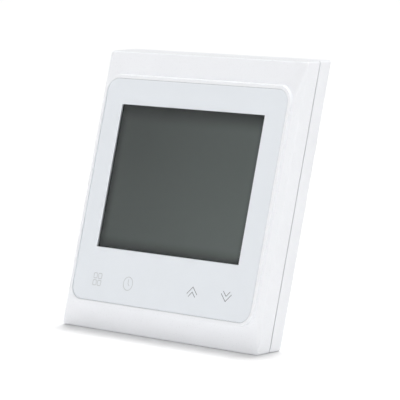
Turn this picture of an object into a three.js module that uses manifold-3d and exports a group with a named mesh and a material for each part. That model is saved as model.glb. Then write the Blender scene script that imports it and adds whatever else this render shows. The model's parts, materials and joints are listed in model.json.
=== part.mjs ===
// Wall thermostat with a touch panel and a large display, millimetres, +Z up.
//
// The origin is the centre of the wall plane, the flat rear face of the square wall plate.
// +X is to the right and the front faces -Y, so +Y points into the wall.
// The front unit (frame, touch panel, display and control board) clips onto the wall unit
// (wall plate with its rear housing, power board and screw terminals).

import * as THREE from 'three';
import { mergeVertices } from 'three/addons/utils/BufferGeometryUtils.js';
import Module from 'manifold-3d';

const wasm = await Module();
wasm.setup();

// ---------------------------------------------------------------- driving dimensions

const PLATE = 90; // width and height of the square front
const DEPTH = 13.2; // touch panel to wall
const EDGE_DEPTH = 10.7; // front edge of the frame's sides to wall
const PARTING_DEPTH = 5.1; // joint between front unit and wall plate, to wall
const PARTING_GAP = 0.3;
const CORNER = 1.5; // corner radius of the square outline
const HALF = PLATE / 2;

const PANEL = { left: -41.15, right: 41.15, bottom: -35.5, top: 36.4, radius: 4.6 };
const PANEL_GAP = 0.3; // between the panel and the rim around it
const RIM = 0.7; // width of that rim
const COVE = 0.85; // width of the hollow curve between rim and border
const SLOPE = 1.25; // rise of the border from its outer edge to the cove
const FRAME_WALL = 1.8;
const FRAME_HOLLOW = -9.6; // front of the hollow behind the border
const PULL_NOTCH = 5; // half width of the notch for a screwdriver, middle of the lower side
const PANEL_THICKNESS = 0.5;
const PRINT_THICKNESS = 0.2;
const SKIN_GAP = 0.05; // between laid-together sheets

const WINDOW = { left: -34, right: 31.55, bottom: -18.25, top: 28.15 }; // clear part of the print
const CELL = { left: -36.5, right: 34, bottom: -22.5, top: 30.5 }; // display glass
const KEY_X = [-30, -15, 15, 30]; // touch keys, left to right
const KEY_Z = -28.4;

const BOARD_HALF = 41; // control board
const BOARD_FRONT = -7.5;
const BOARD_REAR = -6.3;
const COVER_HALF = 42.4; // rear cover of the front unit
const COVER_REAR = -2.2;
const COVER_WALL = 1.2;
const COVER_SCREW = 38; // screw places, both ways from the centre
const HEADER_Z = -10; // middle of the pin header between the two boards
const PIN_PITCH = 2.54;
const PIN = 0.64;
const PIN_END = 6.4;

const RECESS_HALF = 43; // recess in the wall plate
const BACK_WALL = 1.2;
const SLOT = { spacing: 60, width: 4.4, length: 9.2, radius: 2.1 }; // upright, for the wall screws
const HOUSING = { left: -24, right: 24, bottom: -25.9, top: 22, radius: 2 };
const HOUSING_REAR = 19;
const HOUSING_WALL = 1.4;
const POWER_BOARD = { left: -22.1, right: 22.1, bottom: -24.2, top: 20.2 };
const POWER_FRONT = 0.2;
const POWER_REAR = 1.8;
const SEAT = POWER_REAR + 0.1; // where parts stand on the power board
const POWER_SCREW = { x: 20, z: 18 };

const POLES = 6;
const POLE_PITCH = 6;
const POLE_Z = -20.4; // terminal screw axis
const CLAMP_REST = 3.8; // front of a clamp, open
const CLAMP_TRAVEL = 2; // along the screw, four turns of a 0.5 mm thread
const CLAMP_LENGTH = 7.2; // along the screw

const ROUND = 16; // sides of a round piece
const SMALL_ROUND = 12;

// ---------------------------------------------------------------- solids

function closed(geometry) {
  const bare = geometry.clone();
  bare.deleteAttribute('normal');
  bare.deleteAttribute('uv');
  bare.clearGroups();
  const merged = mergeVertices(bare, 1e-4);
  const vertices = merged.getAttribute('position');
  const old = merged.getIndex().array;
  const kept = [];
  let volume = 0;
  const [a, b, c] = [new THREE.Vector3(), new THREE.Vector3(), new THREE.Vector3()];
  for (let i = 0; i < old.length; i += 3) {
    const [p, q, r] = [old[i], old[i + 1], old[i + 2]];
    if (p === q || q === r || r === p) {
      continue;
    }
    kept.push(p, q, r);
    a.fromBufferAttribute(vertices, p);
    b.fromBufferAttribute(vertices, q);
    c.fromBufferAttribute(vertices, r);
    volume += a.dot(b.cross(c));
  }
  if (volume < 0) {
    kept.reverse();
  }
  merged.setIndex(kept);
  return merged;
}

function solid(geometry) {
  const shell = closed(geometry);
  return new wasm.Manifold(new wasm.Mesh({
    numProp: 3,
    vertProperties: new Float32Array(shell.getAttribute('position').array),
    triVerts: new Uint32Array(shell.getIndex().array),
  }));
}

function geometryOf(body) {
  const mesh = body.getMesh();
  const geometry = new THREE.BufferGeometry();
  geometry.setAttribute('position', new THREE.BufferAttribute(mesh.vertProperties, 3));
  geometry.setIndex(new THREE.BufferAttribute(mesh.triVerts, 1));
  return geometry;
}

function block(x0, x1, y0, y1, z0, z1) {
  const geometry = new THREE.BoxGeometry(x1 - x0, y1 - y0, z1 - z0);
  geometry.translate((x0 + x1) / 2, (y0 + y1) / 2, (z0 + z1) / 2);
  return solid(geometry);
}

// A rounded rectangle seen from the front, as a flat plate between two depths.
function sheet(area, y0, y1, radius = 0) {
  const shape = new THREE.Shape();
  const { left, right, bottom, top } = area;
  if (radius > 0) {
    shape.moveTo(right, bottom + radius);
    shape.lineTo(right, top - radius);
    shape.absarc(right - radius, top - radius, radius, 0, Math.PI / 2);
    shape.absarc(left + radius, top - radius, radius, Math.PI / 2, Math.PI);
    shape.absarc(left + radius, bottom + radius, radius, Math.PI, Math.PI * 1.5);
    shape.absarc(right - radius, bottom + radius, radius, Math.PI * 1.5, Math.PI * 2);
  } else {
    shape.moveTo(left, bottom);
    shape.lineTo(right, bottom);
    shape.lineTo(right, top);
    shape.lineTo(left, top);
  }
  const options = { depth: y1 - y0, bevelEnabled: false, curveSegments: 4 };
  const geometry = new THREE.ExtrudeGeometry(shape, options);
  geometry.rotateX(Math.PI / 2);
  geometry.translate(0, y1, 0);
  return solid(geometry);
}

function square(half, y0, y1, radius) {
  return sheet({ left: -half, right: half, bottom: -half, top: half }, y0, y1, radius);
}

function grown(area, by) {
  const { left, right, bottom, top } = area;
  return { left: left - by, right: right + by, bottom: bottom - by, top: top + by };
}

// A round bar along Y.
function bar(x, z, radius, y0, y1, sides = ROUND) {
  const geometry = new THREE.CylinderGeometry(radius, radius, y1 - y0, sides);
  geometry.translate(x, (y0 + y1) / 2, z);
  return solid(geometry);
}

// A turned piece about a Y axis, from [radius, y] points that close on the axis or on themselves.
function turned(points, sides = ROUND) {
  const profile = points.map(([radius, y]) => new THREE.Vector2(radius, y));
  return solid(new THREE.LatheGeometry(profile, sides));
}

// One closed loop of points round a rounded rectangle at one depth.
const CORNER_STEPS = 5;

function loop({ left, right, bottom, top, radius }, y) {
  const corners = [
    [right - radius, top - radius],
    [left + radius, top - radius],
    [left + radius, bottom + radius],
    [right - radius, bottom + radius],
  ];
  const points = [];
  corners.forEach(([x, z], quarter) => {
    for (let step = 0; step <= CORNER_STEPS; step += 1) {
      const angle = (quarter + step / CORNER_STEPS) * Math.PI / 2;
      points.push([x + radius * Math.cos(angle), y, z + radius * Math.sin(angle)]);
    }
  });
  return points;
}

function between(first, second, share) {
  const mixed = {};
  for (const key of Object.keys(first)) {
    mixed[key] = first[key] + (second[key] - first[key]) * share;
  }
  return mixed;
}

// A closed skin through a stack of loops, with a flat cap on the first and the last.
function lofted(loops) {
  const count = loops[0].length;
  const index = [];
  for (let row = 0; row + 1 < loops.length; row += 1) {
    for (let i = 0; i < count; i += 1) {
      const next = (i + 1) % count;
      const [a, b] = [row * count + i, row * count + next];
      index.push(a, b, b + count, a, b + count, a + count);
    }
  }
  const last = (loops.length - 1) * count;
  for (let i = 1; i + 1 < count; i += 1) {
    index.push(0, i + 1, i);
    index.push(last, last + i, last + i + 1);
  }
  const geometry = new THREE.BufferGeometry();
  const places = new Float32Array(loops.flat(2));
  geometry.setAttribute('position', new THREE.BufferAttribute(places, 3));
  geometry.setIndex(index);
  return solid(geometry);
}

// ---------------------------------------------------------------- materials

function material(color, roughness, metalness = 0) {
  return new THREE.MeshStandardMaterial({ color, roughness, metalness });
}

const WHITE_PLASTIC = material(0xedeef1, 0.45);
const PRINT_WHITE = material(0xe3e6ea, 0.35);
const CLEAR = new THREE.MeshStandardMaterial({
  color: 0xf2f6f8,
  roughness: 0.08,
  metalness: 0,
  transparent: true,
  opacity: 0.25,
});
const LCD_GREY = material(0x55595a, 0.35);
const LCD_GLASS = material(0xa9b8b0, 0.15);
const ACRYLIC = material(0xe9eef0, 0.3);
const BOARD_GREEN = material(0x1f5b3a, 0.5);
const BLACK_PLASTIC = material(0x1c1d1f, 0.5);
const ELASTOMER = material(0x6d7278, 0.8);
const SPRING_STEEL = material(0xb9bcc0, 0.3, 1);
const ZINC = material(0xc3c6ca, 0.35, 1);
const BRASS = material(0xc9a552, 0.35, 1);
const TERMINAL_GREEN = material(0x2f7d4a, 0.5);
const RELAY_BLUE = material(0x2a5ea8, 0.45);
const CORE = material(0x3a3b3e, 0.6);
const YELLOW_EPOXY = material(0xd9b43a, 0.45);
const BLUE_EPOXY = material(0x3565a4, 0.4);
const ALUMINIUM = material(0xb5b8bc, 0.35, 1);
const CERAMIC = material(0xe6e2d8, 0.5);
const SHEET_GREY = material(0xd8dadd, 0.6);

const thermostat = new THREE.Group();
const frontUnit = new THREE.Group();
const wallUnit = new THREE.Group();
thermostat.add(frontUnit, wallUnit);

function place(group, name, body, look) {
  const mesh = new THREE.Mesh(geometryOf(body), look);
  mesh.name = name;
  group.add(mesh);
}

// ---------------------------------------------------------------- front unit

const FRONT = -DEPTH;
const PANEL_REAR = FRONT + PANEL_THICKNESS;
const PRINT_FRONT = PANEL_REAR + SKIN_GAP;
const PRINT_REAR = PRINT_FRONT + PRINT_THICKNESS;
const LEDGE_FRONT = PRINT_REAR + 0.1; // shelf of the frame behind the panel
const LEDGE_REAR = LEDGE_FRONT + 1.2;
const FRAME_REAR = -PARTING_DEPTH - PARTING_GAP / 2;

// The frame: square sides, a sloped border, a cove and a raised rim around the panel.
function frontFrame() {
  const outer = { left: -HALF, right: HALF, bottom: -HALF, top: HALF, radius: CORNER };
  const rim = { ...grown(PANEL, PANEL_GAP + RIM), radius: PANEL.radius + PANEL_GAP + RIM };
  const foot = { ...grown(rim, COVE), radius: rim.radius + COVE };
  const edge = -EDGE_DEPTH;
  const body = lofted([
    loop(outer, FRAME_REAR),
    loop(outer, edge + 0.45),
    loop(between(outer, foot, 0.05), edge + 0.08),
    loop(between(outer, foot, 0.12), edge - SLOPE * 0.12),
    loop(foot, edge - SLOPE),
    loop(between(foot, rim, 0.55), edge - SLOPE - 0.15),
    loop(between(foot, rim, 0.9), edge - SLOPE - 0.45),
    loop(rim, FRONT + 0.25),
    loop({ ...grown(rim, -0.2), radius: rim.radius - 0.2 }, FRONT),
  ]);
  const pocket = sheet(grown(PANEL, PANEL_GAP), FRONT - 1, LEDGE_FRONT, PANEL.radius + PANEL_GAP);
  const hollow = square(HALF - FRAME_WALL, FRAME_HOLLOW, 0, 1);
  const well = sheet({ left: -40.6, right: 40.6, bottom: -35.2, top: 36 }, LEDGE_REAR, -9, 4);
  const opening = sheet(grown(CELL, 0.4), FRONT, -9);
  const notch = block(-PULL_NOTCH, PULL_NOTCH, -6.4, FRAME_REAR + 1, -HALF - 1, -HALF + 1);
  let frame = body.subtract(pocket).subtract(hollow).subtract(well).subtract(opening).subtract(notch);
  for (const x of KEY_X) {
    frame = frame.subtract(bar(x, KEY_Z, 3.8, FRONT, -9, ROUND));
  }
  for (const [x, z] of cornersAt(COVER_SCREW)) {
    frame = frame.add(bar(x, z, 2.4, -9.9, BOARD_FRONT - 0.1, SMALL_ROUND));
    frame = frame.subtract(bar(x, z, 1.2, -9.5, 0, SMALL_ROUND));
  }
  return frame;
}

function cornersAt(distance) {
  return [[-1, 1], [1, 1], [-1, -1], [1, -1]].map(([x, z]) => [x * distance, z * distance]);
}

function frontPanel() {
  place(frontUnit, 'touch_glass', sheet(PANEL, FRONT, PANEL_REAR, PANEL.radius), CLEAR);
  const print = sheet(grown(PANEL, -0.1), PRINT_FRONT, PRINT_REAR, PANEL.radius - 0.1);
  const clear = sheet(WINDOW, FRONT, 0);
  place(frontUnit, 'panel_print', print.subtract(clear), PRINT_WHITE);
}

function display() {
  const cellFront = PRINT_REAR + 0.3;
  const cellRear = cellFront + 1.75;
  const polariser = { left: -35.5, right: 33, bottom: -19, top: 29.8 };
  place(frontUnit, 'lcd_polariser', sheet(polariser, PRINT_REAR + 0.05, cellFront - 0.05), LCD_GREY);
  place(frontUnit, 'lcd_cell', sheet(CELL, cellFront, cellRear), LCD_GLASS);
  const guide = { left: -34.5, right: 33.2, bottom: -17.8, top: 30 };
  place(frontUnit, 'light_guide', sheet(guide, cellRear + 0.1, cellRear + 2.3), ACRYLIC);
  const strip = { left: -34, right: 31.5, bottom: -21.8, top: -19.8 };
  place(frontUnit, 'contact_strip', sheet(strip, cellRear + 0.1, BOARD_FRONT - 0.1), ELASTOMER);
  const holder = sheet(grown(CELL, 2), LEDGE_REAR + 0.15, BOARD_FRONT - 0.1, 1);
  const inside = sheet(grown(CELL, 0.3), FRONT, 0);
  place(frontUnit, 'lcd_holder', holder.subtract(inside), WHITE_PLASTIC);
  [0, 16].forEach((z, i) => {
    const led = block(-36.5, -34.9, cellRear + 0.4, BOARD_FRONT - 0.1, z - 1.8, z + 1.8);
    place(frontUnit, `backlight_led_${i + 1}`, led, CERAMIC);
  });
}

function touchSprings() {
  const [front, rear] = [PRINT_REAR + 0.05, BOARD_FRONT - 0.1];
  const profile = [[3.1, front], [3.1, front + 0.7], [2.6, rear - 0.6], [3.1, rear],
    [2.3, rear], [1.9, rear - 0.7], [2.3, front + 0.7], [2.3, front], [3.1, front]];
  KEY_X.forEach((x, i) => {
    const spring = turned(profile).translate(x, 0, KEY_Z);
    place(frontUnit, `touch_spring_${i + 1}`, spring, SPRING_STEEL);
  });
}

function controlBoard() {
  let board = square(BOARD_HALF, BOARD_FRONT, BOARD_REAR, 1);
  for (const [x, z] of cornersAt(COVER_SCREW)) {
    board = board.subtract(bar(x, z, 1.3, -9, -5, SMALL_ROUND));
  }
  place(frontUnit, 'control_board', board, BOARD_GREEN);
  const seat = BOARD_REAR + 0.05;
  place(frontUnit, 'microcontroller', block(13, 23, seat, seat + 1.4, 1, 11), BLACK_PLASTIC);
  place(frontUnit, 'buzzer', bar(-20, -20, 4.5, seat, seat + 2.1), BLACK_PLASTIC);
  const bead = turned([[0, -2.4], [0.7, -2.2], [1.1, -1.4], [1.1, 1], [0.5, 2.4], [0, 2.4]], SMALL_ROUND);
  const upright = bead.rotate([90, 0, 0]).translate(28, seat + 1.2, -38.4);
  place(frontUnit, 'room_sensor', upright, BLACK_PLASTIC);
}

function pinPlaces() {
  const places = [];
  for (let column = -1.5; column <= 1.5; column += 1) {
    for (const row of [-0.5, 0.5]) {
      places.push([column * PIN_PITCH, HEADER_Z + row * PIN_PITCH]);
    }
  }
  return places;
}

function pinHeader() {
  const seat = BOARD_REAR + 0.05;
  let header = block(-5.1, 5.1, seat, seat + 2.4, HEADER_Z - 2.5, HEADER_Z + 2.5);
  for (const [x, z] of pinPlaces()) {
    const pin = block(x - PIN / 2, x + PIN / 2, seat + 2, PIN_END, z - PIN / 2, z + PIN / 2);
    header = header.add(pin);
  }
  place(frontUnit, 'pin_header', header, BLACK_PLASTIC);
}

function rearCover() {
  const rimFront = -5.9;
  const floorFront = COVER_REAR - 1.1;
  let cover = square(COVER_HALF, rimFront, COVER_REAR, 1.4);
  cover = cover.subtract(square(COVER_HALF - COVER_WALL, rimFront - 1, floorFront, 0.8));
  for (const [x, z] of cornersAt(COVER_SCREW)) {
    cover = cover.add(bar(x, z, 2.6, BOARD_REAR + 0.1, floorFront + 0.2, SMALL_ROUND));
    cover = cover.subtract(bar(x, z, 1.25, -9, 0, SMALL_ROUND));
    cover = cover.subtract(bar(x, z, 2.2, floorFront, 0, SMALL_ROUND));
  }
  for (const side of [-1, 1]) {
    for (const z of [-22, 22]) {
      const x = side * (COVER_HALF + 0.1);
      cover = cover.add(block(x - 0.25, x + 0.25, -4.2, -3, z - 4, z + 4));
    }
  }
  cover = cover.subtract(block(-6, 6, -9, 0, HEADER_Z - 3.5, HEADER_Z + 3.5));
  for (const x of ventPlaces()) {
    cover = cover.subtract(block(x - 1.2, x + 1.2, -5, -3.5, -COVER_HALF - 1, -COVER_HALF + 3));
  }
  place(frontUnit, 'rear_cover', cover, WHITE_PLASTIC);
}

function ventPlaces() {
  return [16, 21, 26, 31, 36];
}

// A pan-head screw that sits at the origin, with its head on the +Y side and a cross recess.
function panScrew(length) {
  const [headRadius, headHeight, shankRadius] = [1.9, 0.9, 0.95];
  const point = [[0, -length], [shankRadius, shankRadius - length]];
  const head = [[headRadius, 0], [headRadius, headHeight - 0.35], [headRadius * 0.7, headHeight]];
  const screw = turned([...point, [shankRadius, 0], ...head, [0, headHeight]], SMALL_ROUND);
  const cross = headRadius * 0.6;
  const floor = headHeight - 0.5;
  const across = block(-cross, cross, floor, headHeight + 1, -0.25, 0.25);
  const down = block(-0.25, 0.25, floor, headHeight + 1, -cross, cross);
  return screw.subtract(across.add(down));
}

function coverScrews() {
  cornersAt(COVER_SCREW).forEach(([x, z], i) => {
    const screw = panScrew(6.1).translate(x, COVER_REAR - 1, z);
    place(frontUnit, `cover_screw_${i + 1}`, screw, ZINC);
  });
}

// ---------------------------------------------------------------- wall unit

function wallPlate() {
  const front = -PARTING_DEPTH + PARTING_GAP / 2;
  const rearWall = HOUSING_REAR - HOUSING_WALL;
  let plate = square(HALF, front, 0, CORNER);
  plate = plate.subtract(square(RECESS_HALF, front - 1, -BACK_WALL, 1));
  plate = plate.add(sheet(HOUSING, -BACK_WALL / 2, HOUSING_REAR, HOUSING.radius));
  plate = plate.subtract(sheet(grown(HOUSING, -HOUSING_WALL), -5, rearWall, 1));
  for (const side of [-1, 1]) {
    const slot = {
      left: (side * SLOT.spacing - SLOT.width) / 2,
      right: (side * SLOT.spacing + SLOT.width) / 2,
      bottom: -SLOT.length / 2,
      top: SLOT.length / 2,
    };
    plate = plate.subtract(sheet(slot, -5, 5, SLOT.radius));
    const { x, z } = POWER_SCREW;
    plate = plate.add(bar(side * x, z, 2.3, SEAT, rearWall + 0.2, SMALL_ROUND));
    plate = plate.subtract(bar(side * x, z, 1.25, -3, 9, SMALL_ROUND));
  }
  for (const x of ventPlaces()) {
    plate = plate.subtract(block(x - 1.2, x + 1.2, -3.9, -2.1, -HALF - 1, -RECESS_HALF + 1));
  }
  const wires = block(-18, 18, 3.9, 8.3, HOUSING.bottom - 1, HOUSING.bottom + HOUSING_WALL + 0.5);
  plate = plate.subtract(wires);
  for (const x of poles()) {
    plate = plate.subtract(bar(x, POLE_Z, 2.3, rearWall - 1, HOUSING_REAR + 1, SMALL_ROUND));
  }
  place(wallUnit, 'wall_plate', plate, WHITE_PLASTIC);
}

function headerSlot(y0, y1) {
  return block(-5.6, 5.6, y0, y1, HEADER_Z - 2.9, HEADER_Z + 2.9);
}

function powerBoard() {
  let board = sheet(POWER_BOARD, POWER_FRONT, POWER_REAR);
  board = board.subtract(headerSlot(-1, 3));
  [-1, 1].forEach((side, i) => {
    const [x, z] = [side * POWER_SCREW.x, POWER_SCREW.z];
    board = board.subtract(bar(x, z, 1.4, -1, 3, SMALL_ROUND));
    const screw = panScrew(7).rotate([0, 0, 180]).translate(x, POWER_FRONT - 0.1, z);
    place(wallUnit, `power_board_screw_${i + 1}`, screw, ZINC);
  });
  place(wallUnit, 'power_board', board, BOARD_GREEN);
  const lid = sheet({ left: -25.2, right: 25.2, bottom: -27.2, top: 23.4 }, -1.95, -1.3, 1.5);
  place(wallUnit, 'power_cover', lid.subtract(headerSlot(-3, 0)), SHEET_GREY);
}

function powerParts() {
  place(wallUnit, 'relay', block(-17, 1.5, SEAT, SEAT + 14.8, 3.5, 19), RELAY_BLUE);
  const winding = block(4.5, 15.5, SEAT, SEAT + 12.4, 5.2, 17.8);
  const core = block(3, 17, SEAT + 2.2, SEAT + 10.6, 3.5, 19.5);
  place(wallUnit, 'transformer', winding.add(core), CORE);
  place(wallUnit, 'film_capacitor', block(-20, -7, SEAT, SEAT + 11, -4.5, 1.5), YELLOW_EPOXY);
  const fuse = new THREE.CylinderGeometry(2.5, 2.5, 14, SMALL_ROUND);
  fuse.rotateZ(Math.PI / 2);
  fuse.translate(12.5, SEAT + 2.7, -1.4);
  place(wallUnit, 'fuse', solid(fuse), CERAMIC);
  const disc = new THREE.CylinderGeometry(4, 4, 3.4, ROUND);
  disc.rotateZ(Math.PI / 2);
  disc.translate(0, SEAT + 4.4, -1.8);
  place(wallUnit, 'varistor', solid(disc), BLUE_EPOXY);
  place(wallUnit, 'electrolytic_capacitor', bar(15, -8.6, 4, SEAT, SEAT + 11.5), ALUMINIUM);
}

function headerSocket() {
  let socket = block(-5.2, 5.2, SEAT, 8.3, HEADER_Z - 2.6, HEADER_Z + 2.6);
  for (const [x, z] of pinPlaces()) {
    socket = socket.subtract(block(x - 0.5, x + 0.5, 0, 7.3, z - 0.5, z + 0.5));
  }
  place(wallUnit, 'header_socket', socket, BLACK_PLASTIC);
}

// ---------------------------------------------------------------- screw terminals

function poles() {
  const first = -(POLES - 1) * POLE_PITCH / 2;
  return Array.from({ length: POLES }, (unused, i) => first + i * POLE_PITCH);
}

const CAPTIVE_FRONT = CLAMP_REST + CLAMP_LENGTH + CLAMP_TRAVEL + 0.2;
const CAPTIVE_REAR = CAPTIVE_FRONT + 0.8; // the wall that each screw head bears on
const TAB_FRONT = 7.7;
const TAB_REAR = 8.5;

function terminalBlock() {
  let body = block(-18.6, 18.6, 2.4, 17, -24.4, -15);
  for (const x of poles()) {
    body = body.subtract(block(x - 2.4, x + 2.4, 3.6, CAPTIVE_FRONT, -23.2, -14));
    body = body.subtract(block(x - 1.6, x + 1.6, 4.4, TAB_FRONT, -25, -23));
    body = body.subtract(block(x - 1.5, x + 1.5, 2, 4, -17.1, -14));
    body = body.subtract(bar(x, POLE_Z, 1.5, 13, 15, SMALL_ROUND));
    body = body.subtract(bar(x, POLE_Z, 2.2, CAPTIVE_REAR, 18, SMALL_ROUND));
  }
  place(wallUnit, 'terminal_block', body, TERMINAL_GREEN);
}

// Each pole: a captive screw, a clamp that climbs it, and the tab that the wire is clamped to.
function terminals() {
  const rear = CLAMP_REST + CLAMP_LENGTH;
  poles().forEach((x, i) => {
    const frame = block(x - 2.2, x + 2.2, CLAMP_REST, rear, POLE_Z - 2.5, POLE_Z + 2.5);
    const mouth = block(x - 1.55, x + 1.55, CLAMP_REST + 0.8, rear - 1.1, POLE_Z - 3, POLE_Z + 3);
    const clamp = frame.subtract(mouth).subtract(bar(x, POLE_Z, 1.25, 9, 12, SMALL_ROUND));
    place(wallUnit, `terminal_clamp_${i + 1}`, clamp, ZINC);

    const profile = [[0, TAB_REAR + 0.1], [1.15, TAB_REAR + 0.1], [1.15, CAPTIVE_REAR + 0.1],
      [2, CAPTIVE_REAR + 0.1], [2, 15.6], [1.8, 15.9], [0, 15.9]];
    const driver = block(-0.3, 0.3, 15.1, 17, -3, 3);
    const screw = turned(profile, SMALL_ROUND).subtract(driver).translate(x, 0, POLE_Z);
    place(wallUnit, `terminal_screw_${i + 1}`, screw, ZINC);

    const bite = block(x - 1.2, x + 1.2, TAB_FRONT, TAB_REAR, POLE_Z - 2, -16);
    const leg = block(x - 1.2, x + 1.2, SEAT, TAB_REAR, -16.8, -16);
    place(wallUnit, `contact_tab_${i + 1}`, bite.add(leg), BRASS);
  });
}

// ---------------------------------------------------------------- assembly

place(frontUnit, 'front_frame', frontFrame(), WHITE_PLASTIC);
frontPanel();
display();
touchSprings();
controlBoard();
pinHeader();
rearCover();
coverScrews();
wallPlate();
powerBoard();
powerParts();
headerSocket();
terminalBlock();
terminals();

export default thermostat;
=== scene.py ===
"""Looks of a touch-panel wall thermostat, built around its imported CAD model."""

import json
from math import atan2, cos, degrees, pi, radians, sin, tan

import bmesh
import bpy
from mathutils import Matrix, Vector


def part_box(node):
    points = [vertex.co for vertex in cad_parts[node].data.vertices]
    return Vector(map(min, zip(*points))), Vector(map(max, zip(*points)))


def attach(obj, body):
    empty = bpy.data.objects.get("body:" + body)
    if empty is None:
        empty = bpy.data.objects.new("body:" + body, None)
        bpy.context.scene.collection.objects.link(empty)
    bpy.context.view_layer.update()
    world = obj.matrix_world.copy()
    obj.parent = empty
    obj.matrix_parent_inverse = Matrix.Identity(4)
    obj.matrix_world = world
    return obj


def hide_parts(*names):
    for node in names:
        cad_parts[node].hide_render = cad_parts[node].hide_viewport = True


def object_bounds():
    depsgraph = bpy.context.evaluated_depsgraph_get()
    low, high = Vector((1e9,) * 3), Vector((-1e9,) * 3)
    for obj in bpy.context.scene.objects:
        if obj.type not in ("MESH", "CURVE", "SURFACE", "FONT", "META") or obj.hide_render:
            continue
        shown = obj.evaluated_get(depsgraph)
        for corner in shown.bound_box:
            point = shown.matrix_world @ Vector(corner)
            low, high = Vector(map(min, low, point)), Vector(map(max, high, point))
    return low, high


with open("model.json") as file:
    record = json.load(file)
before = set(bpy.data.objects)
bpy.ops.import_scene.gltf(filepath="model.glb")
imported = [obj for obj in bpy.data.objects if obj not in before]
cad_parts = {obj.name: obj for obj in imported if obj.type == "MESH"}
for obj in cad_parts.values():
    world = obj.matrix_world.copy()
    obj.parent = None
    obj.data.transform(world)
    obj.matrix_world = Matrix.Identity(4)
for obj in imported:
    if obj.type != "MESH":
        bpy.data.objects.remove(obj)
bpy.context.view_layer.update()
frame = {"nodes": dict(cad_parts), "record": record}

MM = 0.001
FRONT = "front_unit"
WALL = "wall_unit"

# ---- places taken from the frame


class Area:
    """A rectangle seen from the front, and its depths if it is a node's, in millimetres."""

    def __init__(self, left, right, bottom, top, front=0.0, rear=0.0):
        self.left, self.right, self.bottom, self.top = left, right, bottom, top
        self.front, self.rear = self.depths = (front, rear)
        self.width, self.height = right - left, top - bottom
        self.middle = ((left + right) / 2, (bottom + top) / 2)

    def grown(self, by):
        """The same area with every side moved out."""
        sides = (self.left - by, self.right + by, self.bottom - by, self.top + by)
        return Area(*sides, *self.depths)


def area(node):
    """A CAD node's area."""
    low, high = (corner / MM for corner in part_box(node))
    return Area(low.x, high.x, low.z, high.z, low.y, high.y)


def around(x, z, half_width, half_height):
    return Area(x - half_width, x + half_width, z - half_height, z + half_height)


def square(half):
    return around(0, 0, half, half)


PLATE = area("wall_plate")
FRAME = area("front_frame")
PANEL = area("touch_glass")
CELL = area("lcd_cell")
PRINT = area("panel_print")
BOARD = area("control_board")
WINDOW = Area(-32.9, 32.3, -18.25, 28.1)
HALF = FRAME.right
SEAT = BOARD.rear + 0.02  # of the parts on the control board
CORNER = 0.9
KEY_X = (-30.0, -15.0, 15.0, 30.0)
KEY_Z = -28.4
HEADER_Z = -10.0
PITCH = 2.54  # between the header's pins
PINS = [((i - 1.5) * PITCH, HEADER_Z + row * PITCH / 2) for i in range(4) for row in (-1, 1)]
VENT_X = (16, 21, 26, 31, 36)
LATCH_Z = (-22, 22)
POLES = range(1, 7)
TERMINALS = [area(f"terminal_screw_{i}").middle for i in POLES]
COVER_SCREWS = [area(f"cover_screw_{i}").middle for i in range(1, 5)]
BOARD_SCREWS = [area(f"power_board_screw_{i}").middle for i in (1, 2)]

# ---- camera


def make_camera():
    """The upright object is seen from its right and slightly above, and the picture is slanted.

    A slant can't be had from a lens shift or a roll: it is a camera whose up axis leans sideways,
    and a little backwards, from the normal of its right axis and its view. It is held in the
    parent's inverse matrix.
    """
    azimuth, elevation, roll = (radians(a) for a in (43.282, 7.055, -0.553))
    distance, slant, tilt = 857.168, 0.194, 0.182
    aim = Vector((10.748, FRAME.front, 0.208))
    across = cos(elevation)
    forward = Vector((-sin(azimuth) * across, cos(azimuth) * across, -sin(elevation)))
    level = forward.cross(Vector((0, 0, 1))).normalized()
    above = level.cross(forward)
    right = cos(roll) * level + sin(roll) * above
    up = -sin(roll) * level + cos(roll) * above
    leaning = (up - slant * right - tilt * forward).normalized()
    spot = (aim - forward * distance) * MM
    rows = [(right[i], leaning[i], -forward[i], spot[i]) for i in range(3)]
    camera = new_object("camera", bpy.data.cameras.new("camera"))
    camera.parent = new_object("tripod", None)
    camera.matrix_parent_inverse = Matrix([*rows, (0, 0, 0, 1)])
    camera.data.sensor_width = 36
    camera.data.lens = 239.08
    camera.data.clip_start = 0.01
    camera.data.clip_end = 100
    bpy.context.scene.camera = camera


# ---- mesh helpers


def new_object(name, data):
    thing = bpy.data.objects.new(name, data)
    bpy.context.scene.collection.objects.link(thing)
    return thing


def baked(name, bm):
    """An object from a bmesh, which is freed."""
    mesh = bpy.data.meshes.new(name)
    bm.to_mesh(mesh)
    bm.free()
    return new_object(name, mesh)


def from_bmesh(name, bm, sharp=35.0):
    """A smooth-shaded object from a mesh in millimetres, with edges above an angle left sharp."""
    bmesh.ops.scale(bm, vec=(MM, MM, MM), verts=bm.verts)
    bmesh.ops.recalc_face_normals(bm, faces=bm.faces)
    return smooth(baked(name, bm), sharp)


def smooth(thing, sharp=35.0):
    bm = bmesh.new()
    bm.from_mesh(thing.data)
    limit = radians(sharp)
    for face in bm.faces:
        face.smooth = True
    for edge in bm.edges:
        edge.smooth = len(edge.link_faces) == 2 and edge.calc_face_angle(0) < limit
    bm.to_mesh(thing.data)
    bm.free()
    return thing


def weighted(thing):
    """Normals that follow the large faces, so that flat faces between fillets stay flat."""
    modifier = thing.modifiers.new("weighted", "WEIGHTED_NORMAL")
    modifier.keep_sharp = True
    modifier.weight = 80
    return thing


def evaluated(thing):
    """The mesh of an object with its modifiers, or of a curve."""
    graph = bpy.context.evaluated_depsgraph_get()
    return bpy.data.meshes.new_from_object(thing.evaluated_get(graph))


def from_curve(name, curve):
    temporary = new_object(name, curve)
    mesh = evaluated(temporary)
    bpy.data.objects.remove(temporary)
    return new_object(name, mesh)


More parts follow.
